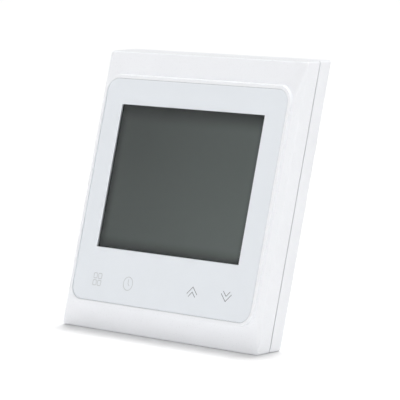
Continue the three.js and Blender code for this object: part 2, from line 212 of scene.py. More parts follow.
def boolean(thing, cutter, operation="DIFFERENCE"):
    """Cuts one mesh with another, or adds it, and removes the other."""
    modifier = thing.modifiers.new("cut", "BOOLEAN")
    modifier.operation = operation
    modifier.solver = "EXACT"
    modifier.object = cutter
    mesh = evaluated(thing)
    thing.modifiers.clear()
    thing.data = mesh
    bpy.data.objects.remove(cutter)
    return thing


def joined(name, things, sharp=None):
    """One object from several."""
    bm = bmesh.new()
    for thing in things:
        bm.from_mesh(thing.data)
        bpy.data.objects.remove(thing)
    result = baked(name, bm)
    return smooth(result, sharp) if sharp else result


def cut(thing, *cutters):
    """Cuts a mesh with cutters that don't touch each other."""
    return boolean(thing, joined("cutters", cutters))


def copied(thing, name, offset):
    """A copy of a mesh object, moved in millimetres."""
    twin = new_object(name, thing.data.copy())
    twin.data.transform(Matrix.Translation(Vector(offset) * MM))
    return twin


def loop(shape, radius, y, steps):
    """Points round a rounded rectangle at one depth, anticlockwise from the right side's top."""
    points = []
    radius = max(radius, 0.01)
    corners = (
        (shape.right - radius, shape.top - radius),
        (shape.left + radius, shape.top - radius),
        (shape.left + radius, shape.bottom + radius),
        (shape.right - radius, shape.bottom + radius),
    )
    for quarter, (x, z) in enumerate(corners):
        for step in range(steps + 1):
            angle = (quarter + step / steps) * pi / 2
            points.append(Vector((x + radius * cos(angle), y, z + radius * sin(angle))))
    return points


def outlines(rows, steps):
    """Loops from (area, how far it is grown, corner radius, depth) rows."""
    return [loop(shape.grown(by), radius, y, steps) for shape, by, radius, y in rows]


def skin(loops, ring=False):
    """A bmesh skin through loops of the same length: a closed ring of them, or capped at both ends."""
    bm = bmesh.new()
    rows = [[bm.verts.new(p) for p in points] for points in loops]
    pairs = list(zip(rows, rows[1:]))
    if ring:
        pairs.append((rows[-1], rows[0]))
    count = len(rows[0])
    for first, second in pairs:
        for i in range(count):
            j = (i + 1) % count
            bm.faces.new((first[i], first[j], second[j], second[i]))
    if not ring:
        bm.faces.new(rows[0])
        bm.faces.new(reversed(rows[-1]))
    bmesh.ops.remove_doubles(bm, verts=bm.verts, dist=1e-5)
    return bm


def stacked(name, shape, radius, profile, steps=8):
    """A solid through one outline at several depths, given as (inset, depth) points."""
    loops = [loop(shape.grown(-inset), radius - inset, y, steps) for inset, y in profile]
    return from_bmesh(name, skin(loops))


def plate(name, shape, front, rear, radius=0.0, edge=0.0, steps=8, rounds=3):
    """A flat plate, with rounded front and rear edges if an edge radius is given."""
    if not edge:
        return stacked(name, shape, radius, [(0, front), (0, rear)], steps if radius else 1)
    quarter = [turn / rounds * pi / 2 for turn in range(rounds + 1)]
    rounding = [(edge * (1 - sin(a)), edge * (1 - cos(a))) for a in quarter]
    profile = [(inset, front + depth) for inset, depth in rounding]
    profile += [(inset, rear - depth) for inset, depth in reversed(rounding)]
    return stacked(name, shape, radius, profile, steps)


def bevel(bm, edge, segments):
    edges = bm.edges[:]
    bmesh.ops.bevel(bm, geom=edges, offset=edge, segments=segments, affect="EDGES", profile=0.5)


def block(name, shape, front, rear, edge=0.0, segments=2):
    """A box over an area, between two depths, with rounded edges if an edge radius is given."""
    bm = bmesh.new()
    bmesh.ops.create_cube(bm, size=1)
    x, z = shape.middle
    bmesh.ops.scale(bm, vec=(shape.width, rear - front, shape.height), verts=bm.verts)
    bmesh.ops.translate(bm, vec=(x, (front + rear) / 2, z), verts=bm.verts)
    if edge:
        bevel(bm, edge, segments)
    return from_bmesh(name, bm, 50)


def cased(name, node, edge, segments=3):
    """A rounded box that fills a node's box."""
    shape = area(node)
    return block(name, shape, *shape.depths, edge, segments)


def arc(centre, radius, start, end, steps):
    """Points of an arc in a plane, angles in degrees."""
    angles = [radians(start + (end - start) * i / steps) for i in range(steps + 1)]
    return [(centre[0] + radius * cos(a), centre[1] + radius * sin(a)) for a in angles]


def turned(name, profile, place, steps=32, sharp=35.0, aside=False):
    """A piece turned about a Y axis at (x, z), from (radius, y) points.

    Turned aside, it has an X axis at (y, z), and its points are (radius, x).
    """
    turns = [step / steps * 2 * pi for step in range(steps)]
    loops = []
    for radius, depth in profile:
        r = max(radius, 0.004)
        ring = [(place[0] + r * cos(a), place[1] + r * sin(a)) for a in turns]
        loops.append([Vector((depth, u, v) if aside else (u, depth, v)) for u, v in ring])
    return from_bmesh(name, skin(loops), sharp)


def rod(name, radius, front, rear, place, steps=32):
    return turned(name, [(radius, front), (radius, rear)], place, steps)


def strip(name, points, left, right):
    """A bent strip of metal: a closed (y, z) section from one x to another, with rounded edges."""
    bm = bmesh.new()
    first, second = ([bm.verts.new((x, y, z)) for y, z in points] for x in (left, right))
    for i in range(len(points)):
        bm.faces.new((first[i - 1], first[i], second[i], second[i - 1]))
    bm.faces.new(first)
    bm.faces.new(reversed(second))
    bevel(bm, 0.12, 2)
    return from_bmesh(name, bm, 50)


def wire(name, points, width):
    """A round wire along points, in millimetres."""
    curve = bpy.data.curves.new(name, "CURVE")
    curve.dimensions = "3D"
    curve.bevel_depth = width / 2 * MM
    curve.bevel_resolution = 2
    curve.use_fill_caps = True
    spline = curve.splines.new("POLY")
    spline.points.add(len(points) - 1)
    for target, point in zip(spline.points, points):
        target.co = (*(Vector(point) * MM), 1)
    return smooth(from_curve(name, curve), 60)


# ---- materials


class Nodes:
    """A node tree under construction."""

    def __init__(self, tree):
        self.tree = tree

    def feed(self, socket, value):
        """Links another node's output to a socket, or sets a constant on it."""
        if isinstance(value, bpy.types.NodeSocket):
            self.tree.links.new(value, socket)
        else:
            socket.default_value = value

    def add(self, kind, sockets=None, **settings):
        """A new node's outputs; what its sockets get is given by their names or numbers."""
        node = self.tree.nodes.new(kind)
        for key, value in settings.items():
            setattr(node, key, value)
        for key, value in (sockets or {}).items():
            self.feed(node.inputs[key], value)
        return node.outputs

    def math(self, operation, first, second=0.0):
        """A Math node's result; each operand is a socket or a number."""
        return self.add("ShaderNodeMath", {0: first, 1: second}, operation=operation)["Value"]

    def axes(self, vector):
        return self.add("ShaderNodeSeparateXYZ", {"Vector": vector})


class Look(Nodes):
    """A node material with one Principled shader."""

    def __init__(self, name, color, roughness, metallic=0.0):
        self.material = bpy.data.materials.new(name)
        self.material.use_nodes = True
        super().__init__(self.material.node_tree)
        self.shader = self.tree.nodes["Principled BSDF"]
        self.shader.inputs["Base Color"].default_value = (*color, 1)
        self.shader.inputs["Roughness"].default_value = roughness
        self.shader.inputs["Metallic"].default_value = metallic
        self.place = self.add("ShaderNodeTexCoord")["Object"]

    def noise(self, scale, detail, stretch=(1, 1, 1)):
        """A noise value over the object, with a scale in waves per metre."""
        spot = self.add("ShaderNodeMapping", {"Vector": self.place, "Scale": stretch})["Vector"]
        sockets = {"Vector": spot, "Scale": scale, "Detail": detail}
        return self.add("ShaderNodeTexNoise", sockets)["Fac"]

    def ramp(self, value, first, second, start=0.3, end=0.7):
        """A ramp from one colour or grey to another, between two values."""
        node = self.tree.nodes.new("ShaderNodeValToRGB")
        for element, place, color in zip(node.color_ramp.elements, (start, end), (first, second)):
            element.position = place
            element.color = (color, color, color, 1) if isinstance(color, float) else (*color, 1)
        self.feed(node.inputs["Fac"], value)
        return node.outputs["Color"]

    def rise(self, value, start, end, form="SMOOTHSTEP"):
        """0 at the start and 1 at the end, with a smooth rise between."""
        sockets = {"Value": value, "From Min": start, "From Max": end}
        return self.add("ShaderNodeMapRange", sockets, interpolation_type=form)["Result"]

    def paint(self, value, *stops):
        self.feed(self.shader.inputs["Base Color"], self.ramp(value, *stops))

    def polish(self, value, *stops):
        self.feed(self.shader.inputs["Roughness"], self.ramp(value, *stops))

    def bump(self, height, strength, distance):
        sockets = {"Height": height, "Strength": strength, "Distance": distance}
        self.feed(self.shader.inputs["Normal"], self.add("ShaderNodeBump", sockets)["Normal"])


def shade(color, factor):
    return tuple(c * factor for c in color)


def moulded(name, color, roughness, grain, scale, spread=0.03):
    """Moulded plastic: a fine spark-eroded grain with small changes of colour and gloss."""
    look = Look(name, color, roughness)
    look.paint(look.noise(60, 3), shade(color, 1 - spread), color)
    fine = look.noise(scale, 5)
    look.polish(fine, roughness - 0.05, roughness + 0.06, 0.35, 0.65)
    look.bump(fine, grain, 0.03 * MM)
    return look.material


def printed(name, color, roughness):
    """A printed or glossy layer: even, with a faint orange peel."""
    look = Look(name, color, roughness)
    look.paint(look.noise(25, 2), shade(color, 0.985), color)
    fine = look.noise(1500, 3)
    look.polish(fine, roughness - 0.04, roughness + 0.04)
    look.bump(fine, 0.03, 0.01 * MM)
    return look.material


def metal(name, color, roughness, stretch=(1, 18, 1), scale=700.0):
    """Plated or drawn metal with fine streaks."""
    look = Look(name, color, roughness, 1.0)
    streaks = look.noise(scale, 6, stretch)
    look.paint(streaks, shade(color, 0.82), color)
    look.polish(streaks, roughness - 0.08, roughness + 0.1)
    look.bump(streaks, 0.25, 0.02 * MM)
    return look.material


def banded(name, first, second, spacing, roughness):
    """Even bands of two colours across the width."""
    look = Look(name, first, roughness)
    share = look.math("FRACT", look.math("DIVIDE", look.axes(look.place)["X"], spacing * MM))
    look.paint(share, first, second, 0.45, 0.55)
    look.polish(look.noise(900, 3), roughness - 0.05, roughness + 0.05)
    return look.material


def clear_sheet(name):
    """A thin clear sheet bonded to what is behind it: a mirror only at grazing angles.

    Seen more squarely, the gloss is that of the layers behind.
    """
    look = Look(name, (1, 1, 1), 0.05)
    look.tree.nodes.remove(look.shader)
    white = (1, 1, 1, 1)
    gloss = look.ramp(look.noise(90, 4), 0.05, 0.12, 0.35, 0.75)
    through = look.add("ShaderNodeBsdfTransparent", {"Color": white})["BSDF"]
    mirror = look.add("ShaderNodeBsdfGlossy", {"Color": white, "Roughness": gloss})["BSDF"]
    facing = look.add("ShaderNodeLayerWeight", {"Blend": 0.5})["Facing"]
    share = look.rise(facing, 0.36, 1.05, "SMOOTHERSTEP")
    mix = look.add("ShaderNodeMixShader", {"Fac": share, 1: through, 2: mirror})
    look.feed(look.tree.nodes["Material Output"].inputs["Surface"], mix["Shader"])
    return look.material


def display_dark(name, dark, light):
    """The unlit display: grey-green, with painted shade towards the window's edges, where the print
    would shade it, and painted light and shade across it, darker at the top and lighter towards the
    right.
    """
    look = Look(name, dark, 0.1)
    look.shader.inputs["Specular IOR Level"].default_value = 0.3
    axes = look.axes(look.place)

    def rise(axis, start, end):
        """The rise between two places in the window, in millimetres."""
        return look.rise(axes[axis], start * MM, end * MM)

    # Painted light and shade: darker towards the window's top, lighter towards its right.
    painted_top_shade = look.math("MULTIPLY", rise("Z", WINDOW.top, WINDOW.bottom), 0.2)
    painted_right_light = look.math("MULTIPLY", rise("X", WINDOW.left, WINDOW.right), 0.3)
    painted_shading = look.math("ADD", look.math("ADD", painted_top_shade, painted_right_light), 0.5)
    # Painted shade along the window's edges, where the print would shade the display.
    for painted_edge_shade in (
        rise("X", WINDOW.left - 1.5, WINDOW.left + 4),
        rise("X", WINDOW.right + 2.5, WINDOW.right - 2.5),
        rise("Z", WINDOW.bottom - 2, WINDOW.bottom + 4.5),
        rise("Z", WINDOW.top + 1.5, WINDOW.top - 6.5),
    ):
        painted_shading = look.math("MULTIPLY", painted_shading, painted_edge_shade)
    look.paint(painted_shading, dark, light, 0.0, 1.0)
    return look.material


def circuit_board(name, mask, copper):
    """Solder mask over copper, which shows as paler, slightly raised areas and bundles of tracks."""
    look = Look(name, mask, 0.35)
    flat = look.add("ShaderNodeMapping", {"Vector": look.place, "Scale": (1, 0, 1)})["Vector"]
    axes = look.axes(flat)
    cells = look.add("ShaderNodeTexVoronoi", {"Vector": flat, "Scale": 85}, distance="CHEBYCHEV")
    chance = look.add("ShaderNodeSeparateColor", {"Color": cells["Color"]})

    def tracks(across, along, chosen):
        """1 on parallel tracks that step sideways at even distances, in the chosen cells."""
        step = look.math("MINIMUM", look.math("PINGPONG", axes[along], 9 * MM), 3 * MM)
        place = look.math("DIVIDE", look.math("ADD", axes[across], step), 1.3 * MM)
        track = look.math("GREATER_THAN", look.math("FRACT", place), 0.68)
        return look.math("MULTIPLY", track, chosen)

    upright = tracks("X", "Z", look.math("GREATER_THAN", chance["Red"], 0.55))
    level = tracks("Z", "X", look.math("LESS_THAN", chance["Red"], 0.4))
    filled = look.math("GREATER_THAN", chance["Green"], 0.72)
    shown = look.math("MAXIMUM", look.math("MAXIMUM", upright, level), filled)
    look.paint(shown, mask, copper, 0.0, 1.0)
    look.bump(shown, 0.4, 0.04 * MM)
    return look.material


def make_looks():
    white = (0.87, 0.88, 0.905)
    return {
        "front_frame": moulded("white_satin_plastic", white, 0.32, 0.03, 2400, 0.01),
        "white_housing": moulded("white_housing_plastic", white, 0.48, 0.25, 2200, 0.02),
        "white_inner": moulded("white_inner_plastic", (0.74, 0.75, 0.76), 0.5, 0.3, 2000),
        "print": printed("white_print", (0.805, 0.835, 0.87), 0.15),
        "symbols": printed("grey_print", (0.20, 0.21, 0.22), 0.35),
        "pale_symbols": printed("pale_grey_print", (0.54, 0.56, 0.57), 0.35),
        "clear_front": clear_sheet("clear_front_sheet"),
        "polariser": display_dark("unlit_display_with_painted_shade", (0.008, 0.010, 0.010), (0.096, 0.113, 0.108)),
        "lcd_glass": printed("display_glass", (0.42, 0.47, 0.45), 0.15),
        "light_guide": printed("frosted_acrylic", (0.85, 0.88, 0.90), 0.35),
        "elastomer": banded("layered_elastomer", (0.62, 0.30, 0.32), (0.05, 0.05, 0.055), 0.6, 0.7),
        "ceramic": printed("glazed_ceramic", (0.85, 0.83, 0.78), 0.25),
        "phosphor": printed("yellow_phosphor", (0.80, 0.66, 0.10), 0.45),
        "board": circuit_board("green_board", (0.02, 0.14, 0.06), (0.05, 0.26, 0.11)),
        "black_plastic": moulded("black_plastic", (0.025, 0.025, 0.028), 0.45, 0.5, 1800),
        "insulator": moulded("grey_insulator", (0.62, 0.64, 0.66), 0.55, 0.3, 1200),
        "relay_blue": moulded("blue_case", (0.03, 0.12, 0.40), 0.3, 0.15, 1500),
        "core": moulded("dark_core", (0.05, 0.05, 0.055), 0.55, 0.7, 900, 0.3),
        "winding_tape": printed("amber_tape", (0.70, 0.42, 0.06), 0.3),
        "epoxy_yellow": moulded("yellow_box", (0.66, 0.42, 0.04), 0.35, 0.2, 900),
        "epoxy_blue": moulded("blue_epoxy", (0.04, 0.14, 0.40), 0.3, 0.5, 500),
        "can": metal("drawn_can", (0.62, 0.63, 0.65), 0.3),
        "sleeve": printed("shrink_sleeve", (0.012, 0.016, 0.05), 0.25),
        "terminal_green": moulded("green_terminal_plastic", (0.03, 0.24, 0.09), 0.42, 0.3, 1600),
        "zinc_steel": metal("zinc_plated_steel", (0.60, 0.61, 0.63), 0.33),
        "spring_steel": metal("spring_wire", (0.62, 0.62, 0.63), 0.28),
        "brass": metal("tinned_brass", (0.70, 0.52, 0.20), 0.3),
        "gold": metal("gilt_pins", (0.86, 0.62, 0.22), 0.2),
        "solder": metal("solder", (0.66, 0.67, 0.69), 0.22, (1, 1, 1), 400),
    }


# The record's slots for looks that aren't slots themselves.
SLOTS = {"symbols": "print", "pale_symbols": "print", "phosphor": "ceramic", "gold": "brass"}
SLOTS |= {"winding_tape": "core", "sleeve": "can", "solder": "zinc_steel"}


def dress(thing, look):
    """Gives a piece one look."""
    thing.data.materials.clear()
    thing.data.materials.append(looks[look])


def fit(thing, body, look, *nodes):
    """A finished piece: it rides on a body, has a look and stands for CAD nodes."""
    dress(thing, look)
    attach(thing, body)
    if nodes:
        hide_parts(*nodes)


# ---- shared fittings


def crossed(thing, place, reach, width, front, rear):
    """Cuts a cross into a piece; its arms are given by their half sizes."""
    for size in ((reach, width), (width, reach)):
        boolean(thing, plate("arm", around(*place, *size), front, rear))
    return thing


def pan_screw(name, place, seat, way, length):
    """A pan-head screw with a cross recess; its head stands on the seat, on the side way (-1 or 1)."""
    head, height, shank = 1.9, 0.9, 0.95
    profile = [(0, length), (0.4, length - 0.3)]
    depth = length - shank
    while depth > 0.9:
        profile += [(shank, depth), (shank * 0.78, depth - 0.35)]
        depth -= 0.7
    profile += [(shank, 0.2), (shank, 0), (head, 0)]
    profile += [(x, -y) for x, y in arc((head - 0.55, height - 0.55), 0.55, 0, 90, 5)]
    profile.append((0, -height))
    screw = turned(name, [(r, seat - way * d) for r, d in profile], place, 28, 30)
    depths = sorted((seat + way * (height - 0.5), seat + way * (height + 1)))
    return smooth(crossed(screw, place, 1.15, 0.24, *depths), 30)


def pin(spot, front, rear):
    """A square pin whose rear end is tapered."""
    half, point = 0.32, 0.35
    profile = [(0, front), (0, rear - point), (half * 0.55, rear)]
    return stacked("pin", around(*spot, half, half), 0, profile, 1)


def solder_joints(places, surface):
    """Small cones of solder on the front of the power board."""
    radius, height = 0.9, 0.6
    profile = [(radius, 0), (0.6 * radius, 0.35 * height), (0.35 * radius, height)]
    profile = [(0, surface), *[(r, surface - lift) for r, lift in profile], (0, surface - height)]
    cones = [turned("cone", profile, spot, 14, 40) for spot in places]
    return joined("board_solder", cones, 40)


# ---- front unit

EDGE_FRONT = -10.7  # where the border's slope meets the square sides
SLOPE = 1.25  # how far the border rises to the cove
RIM_WIDTH = 1.1
PANEL_GAP = 0.06  # round the panel's sides and foot
HEAD_GAP = 0.08  # over the panel, which stands on the pocket's foot
COVE_WIDTH = 0.15
PANEL_RADIUS = 4.6
PRINT_LIP = 0.1  # the print comes up this wide round the clear sheet
PRINT_FRONT = PANEL.front + 0.22
LEDGE_FRONT = PRINT.rear + 0.1
LEDGE_REAR = LEDGE_FRONT + 1.2
HOLLOW_FRONT = -9.6
FOOT_RADIUS = PANEL_RADIUS + PANEL_GAP + RIM_WIDTH + COVE_WIDTH


def border_section(width):
    """The border from side to rim top, as (distance inwards, depth) points, for one border width."""
    fillet, rim_edge = 0.8, 0.15
    turn = pi / 2 - atan2(SLOPE, width)
    centre = (fillet, EDGE_FRONT + fillet * tan(turn / 2))
    points = arc(centre, fillet, 180, 180 + degrees(turn), 8)
    direction = Vector((width, -SLOPE)).normalized()
    foot = Vector((width, EDGE_FRONT - SLOPE))
    begin = foot - direction * 0.12
    control = foot + direction * 0.08
    wall = Vector((width + COVE_WIDTH, foot.y - 0.25))
    for i in range(7):
        t = i / 6
        points.append(begin * (1 - t) ** 2 + control * 2 * t * (1 - t) + wall * t * t)
    return points + arc((wall.x + rim_edge, FRAME.front + rim_edge), rim_edge, 180, 270, 4)


def towards_rim(point, foot):
    """The direction from a point on the cove's foot to the rim, square to the outline there."""
    x = min(max(point.x, foot.left + FOOT_RADIUS), foot.right - FOOT_RADIUS)
    z = min(max(point.z, foot.bottom + FOOT_RADIUS), foot.top - FOOT_RADIUS)
    return Vector((x - point.x, 0, z - point.z)).normalized()


def border_loops(outer, foot, steps):
    """Loops round the border, from the square side to the top of the rim."""
    sections = []
    for a, b in zip(loop(outer, CORNER, 0, steps), loop(foot, FOOT_RADIUS, 0, steps)):
        width = (b - a).length
        across = (b - a).normalized()
        inwards = towards_rim(b, foot)
        points = []
        for distance, y in border_section(width):
            beyond = max(distance - width, 0)
            spot = a + across * min(distance, width) + inwards * beyond
            points.append(Vector((spot.x, y, spot.z)))
        sections.append(points)
    return [list(points) for points in zip(*sections)]


def front_frame():
    outer = square(HALF)
    sides = PANEL.grown(PANEL_GAP)
    pocket = Area(sides.left, sides.right, sides.bottom, PANEL.top + HEAD_GAP)
    foot = pocket.grown(RIM_WIDTH + COVE_WIDTH)
    pocket_radius = PANEL_RADIUS + PANEL_GAP
    opening = CELL.grown(0.4)
    well = Area(-40.6, 40.6, -35.2, 36.0)
    hollow = outer.grown(-1.8)
    rear, lip, edge, steps = FRAME.rear, 0.15, 0.08, 16
    inside = [
        (pocket, edge, pocket_radius + edge, FRAME.front),
        (pocket, 0, pocket_radius, FRAME.front + edge),
        (pocket, 0, pocket_radius, LEDGE_FRONT),
        (opening, 0, 0.5, LEDGE_FRONT),
        (opening, 0, 0.5, LEDGE_REAR),
        (well, 0, 4, LEDGE_REAR),
        (well, 0, 4, HOLLOW_FRONT),
        (hollow, 0, 1, HOLLOW_FRONT),
        (hollow, 0, 1, rear - lip),
        (hollow, lip, 1 + lip, rear),
    ]
    loops = outlines([(outer, -lip, CORNER - lip, rear), (outer, 0, CORNER, rear - lip)], steps)
    loops += border_loops(outer, foot, steps) + outlines(inside, steps)
    body = from_bmesh("front_frame_shell", skin(loops, ring=True))
    cutters = [block("notch", around(0, -HALF, 5, 1), -6.4, rear + 1, 0.2)]
    cutters += [rod("window", 3.8, LEDGE_FRONT - 0.3, -9, (x, KEY_Z)) for x in KEY_X]
    for spot in COVER_SCREWS:
        boolean(body, rod("post", 2.4, HOLLOW_FRONT - 0.3, BOARD.front - 0.1, spot), "UNION")
        cutters.append(rod("bore", 1.2, -9.3, -7, spot, 20))
    cut(body, *cutters)
    fit(weighted(smooth(body)), FRONT, "front_frame", "front_frame")


def touch_panel():
    """The clear sheet and the printed layer behind it, which comes up round the sheet's edge."""
    steps, inner_radius = 16, PANEL_RADIUS - PRINT_LIP
    edge, gap = 0.05, 0.01
    inner = PANEL.grown(-PRINT_LIP)
    clear = inner.grown(-gap)
    glass = plate("clear_panel", clear, PANEL.front, PRINT_FRONT - gap, inner_radius, edge, steps)
    fit(weighted(glass), FRONT, "clear_front", "touch_glass")
    rows = [
        (inner, 0, inner_radius, PRINT_FRONT),
        (inner, 0, inner_radius, PANEL.front + edge),
        (PANEL, 0, PANEL_RADIUS, PANEL.front + edge),
        (PANEL, 0, PANEL_RADIUS, PRINT.rear),
    ]
    sheet = from_bmesh("printed_layer", skin(outlines(rows, steps)))
    cut(sheet, plate("window", WINDOW, PANEL.front - 1, PRINT.rear + 1, 0.25, steps=3))
    fit(smooth(sheet), FRONT, "print", "panel_print")


def ribbon(name, points, width, closed=False):
    """A flat printed line along (x, z) points, with mitred joints, just in front of the print."""
    count = len(points)
    sides = []
    for i in range(count):
        here = Vector(points[i])
        before = Vector(points[i - 1]) if closed or i else 2 * here - Vector(points[1])
        after = Vector(points[(i + 1) % count]) if closed or i + 1 < count else 2 * here - before
        arriving = (here - before).normalized()
        along = (arriving + (after - here).normalized()).normalized()
        out = Vector((-along.y, along.x)) * width / 2 / max(along.dot(arriving), 0.3)
        sides.append((here + out, here - out))
    front, rear = PRINT_FRONT - 0.03, PRINT_FRONT - 0.01
    rows = []
    for left, right in sides:
        corners = ((left, front), (right, front), (right, rear), (left, rear))
        rows.append([Vector((spot.x, y, spot.y)) for spot, y in corners])
    return from_bmesh(name, skin(rows, closed), 40)


def key_symbols():
    """Four line symbols; as in the photo, each is a little off its key's middle."""
    width = 0.22
    x, z = KEY_X[0] + 0.1, KEY_Z - 0.2
    cells = []
    for row in (-1.12, 1.12):
        for column in (-1.08, 1.08):
            cell = loop(around(x + column, z + row, 0.78, 0.82), 0.32, 0, 4)
            cells.append(ribbon("cell", [(p.x, p.z) for p in cell], width, closed=True))
    fit(joined("symbol_menu", cells), FRONT, "pale_symbols")

    x, z = KEY_X[1] - 0.25, KEY_Z - 0.25
    face = arc((x, z), 2.12, 0, 351, 39)
    lines = [ribbon("face", face, width, closed=True)]
    lines.append(ribbon("hands", [(x, z + 1.4), (x, z), (x + 0.7, z - 0.7)], width))
    fit(joined("symbol_clock", lines), FRONT, "pale_symbols")

    for name, x, z, way in (
        ("symbol_up", KEY_X[2] - 0.65, KEY_Z - 0.1, 1),
        ("symbol_down", KEY_X[3] - 0.65, KEY_Z + 0.4, -1),
    ):
        lines = []
        for height, reach in ((1.75, 2.3), (0.15, 1.5)):
            top = z + way * height
            foot = top - way * reach
            lines.append(ribbon("arm", [(x - reach, foot), (x, top), (x + reach, foot)], width))
        fit(joined(name, lines), FRONT, "symbols")


def display_stack():
    face = area("lcd_polariser")
    film = plate("display_face", face, *face.depths, 0.3, 0.05, 3, 2)
    fit(weighted(film), FRONT, "polariser", "lcd_polariser")

    split = CELL.front + 0.85
    upper = Area(CELL.left, CELL.right, CELL.bottom + 2.9, CELL.top)
    front_glass = plate("front_glass", upper, CELL.front, split, 0.1, 0.04, 2, 1)
    rear_glass = plate("rear_glass", CELL, split + 0.03, CELL.rear, 0.1, 0.04, 2, 1)
    fit(joined("display_cell", [front_glass, rear_glass]), FRONT, "lcd_glass", "lcd_cell")

    guide = area("light_guide")
    panel = plate("backlight_panel", guide, guide.front, guide.rear - 0.25, 0.4, 0.1, 3, 2)
    fit(weighted(panel), FRONT, "light_guide", "light_guide")
    film = plate("backlight_reflector", guide, guide.rear - 0.2, guide.rear, 0.4, steps=3)
    fit(film, FRONT, "white_inner")
    fit(cased("contact_bar", "contact_strip", 0.15), FRONT, "elastomer", "contact_strip")

    for i in (1, 2):
        name = f"backlight_led_{i}"
        shape = area(name)
        fit(cased(f"led_body_{i}", name, 0.12), FRONT, "ceramic", name)
        x = shape.right
        lens = Area(x - 0.3, x + 0.04, shape.bottom + 0.5, shape.top - 0.5)
        face = block(f"led_face_{i}", lens, shape.front + 0.3, shape.rear - 0.3, 0.03)
        fit(face, FRONT, "phosphor")


def display_holder():
    shape = area("lcd_holder")
    inside = CELL.grown(0.3)
    (front, rear), edge = shape.depths, 0.2
    rows = [
        (shape, -edge, 1 - edge, front),
        (shape, 0, 1, front + edge),
        (shape, 0, 1, rear - edge),
        (shape, -edge, 1 - edge, rear),
        (inside, edge, 0.5, rear),
        (inside, 0, 0.3, rear - edge),
        (inside, 0, 0.3, front + edge),
        (inside, edge, 0.5, front),
    ]
    holder = from_bmesh("display_holder", skin(outlines(rows, 6), ring=True))
    fit(holder, FRONT, "white_inner", "lcd_holder")


def touch_springs():
    """Conical wire coils between the board and the panel, with closed end turns."""
    turns, closed, steps, width = 5, 0.8, 20, 0.5
    for i in range(1, 5):
        name = f"touch_spring_{i}"
        shape = area(name)
        x, z = shape.middle
        front, rear = shape.front + width / 2, shape.rear - width / 2
        radius = (shape.width - width) / 2
        points = []
        for step in range(turns * steps + 1):
            share = step / (turns * steps)
            climb = min(max((share * turns - closed) / (turns - 2 * closed), 0), 1)
            lean = radius * (1 - 0.22 * sin(pi * share))
            angle = share * turns * 2 * pi
            y = front + (rear - front) * climb
            points.append((x + lean * cos(angle), y, z + lean * sin(angle)))
        fit(wire(f"touch_coil_{i}", points, width), FRONT, "spring_steel", name)


def chip(name, shape, pins, pitch, *nodes):
    """A flat chip with gull-wing leads on its two upright sides."""
    body = block(name, shape, *shape.depths, 0.18)
    mark = (shape.left + 1, shape.top - 1)
    boolean(body, rod("mark", 0.35, shape.rear - 0.1, shape.rear + 1, mark, 16))
    fit(smooth(body, 50), FRONT, "black_plastic", *nodes)
    bends = ((0, 0.7), (0.4, 0.7), (0.6, 0.08), (1.1, 0.08))
    leads = []
    for i in range(pins):
        z = shape.middle[1] + (i - (pins - 1) / 2) * pitch
        for x, way in ((shape.left, -1), (shape.right, 1)):
            points = [(x + way * reach, shape.front + lift, z) for reach, lift in bends]
            leads.append(wire("lead", points, 0.2))
    fit(joined(name + "_leads", leads), FRONT, "solder")


def small_part(x, z, half_width, half_height, thickness):
    return block("small_part", around(x, z, half_width, half_height), SEAT, SEAT + thickness, 0.06)


def control_board():
    panel = plate("control_panel", BOARD, *BOARD.depths, 1, 0.06, 6, 1)
    cut(panel, *[rod("hole", 1.3, -9, -5, spot, 24) for spot in COVER_SCREWS])
    fit(smooth(panel), FRONT, "board", "control_board")
    chip("controller_chip", area("microcontroller"), 12, 0.75, "microcontroller")
    chip("memory_chip", Area(-8, -3, 14, 19, SEAT, SEAT + 1.3), 4, 1.27)
    bodies, ends = [], []
    for column, x in enumerate((-33, -29, -25, 3, 6, 28, 32)):
        for row in range(5):
            z = 27 - row * 4.6 - column % 2 * 1.3
            bodies.append(small_part(x, z, 0.62, 0.4, 0.5))
            ends += [small_part(x + side * 0.82, z, 0.2, 0.42, 0.52) for side in (-1, 1)]
    fit(joined("chip_parts", bodies), FRONT, "black_plastic")
    fit(joined("chip_part_ends", ends), FRONT, "solder")


def buzzer():
    disc = area("buzzer")
    front, rear, well = disc.front, disc.rear, disc.rear - 0.9
    radius = disc.width / 2
    profile = [(0, front), (radius, front), (radius, rear - 0.3), (radius - 0.3, rear)]
    profile += [(1.0, rear), (0.9, well), (0, well)]
    fit(turned("buzzer_case", profile, disc.middle, 40), FRONT, "black_plastic", "buzzer")


def room_sensor():
    """A bead on two bent legs."""
    bead = area("room_sensor")
    x, y = bead.middle[0], (bead.front + bead.rear) / 2
    drop = bmesh.new()
    bmesh.ops.create_uvsphere(drop, u_segments=20, v_segments=12, radius=1)
    bmesh.ops.scale(drop, vec=(1.08, 1.08, 1.6), verts=drop.verts)
    bmesh.ops.translate(drop, vec=(x, y, bead.bottom + 1.65), verts=drop.verts)
    fit(from_bmesh("sensor_bead", drop, 60), FRONT, "black_plastic", "room_sensor")
    legs = []
    for side in (-0.5, 0.5):
        points = [(x + side, y, bead.bottom + 2.2), (x + side * 1.6, y, bead.top)]
        points.append((x + side * 2, SEAT, bead.top + 2.4))
        legs.append(wire("leg", points, 0.28))
    fit(joined("sensor_legs", legs), FRONT, "solder")


def pin_header():
    box = area("pin_header")
    base_rear = BOARD.rear + 2.45
    plastic = Area(-2 * PITCH, 2 * PITCH, box.bottom, box.top)
    base = block("header_base", plastic, box.front, base_rear, 0.2)
    notches = []
    for x in (-PITCH, 0, PITCH):
        for z in (box.bottom, box.top):
            notches.append(plate("notch", around(x, z, 0.25, 0.35), -9, 0))
    cut(base, *notches)
    fit(smooth(base, 50), FRONT, "black_plastic", "pin_header")
    pins = [pin(spot, base_rear - 0.3, box.rear) for spot in PINS]
    fit(joined("header_pins", pins, 35), FRONT, "gold")


def vents(front, rear, bottom, top):
    return [block("vent", Area(x - 1.2, x + 1.2, bottom, top), front, rear, 0.3) for x in VENT_X]


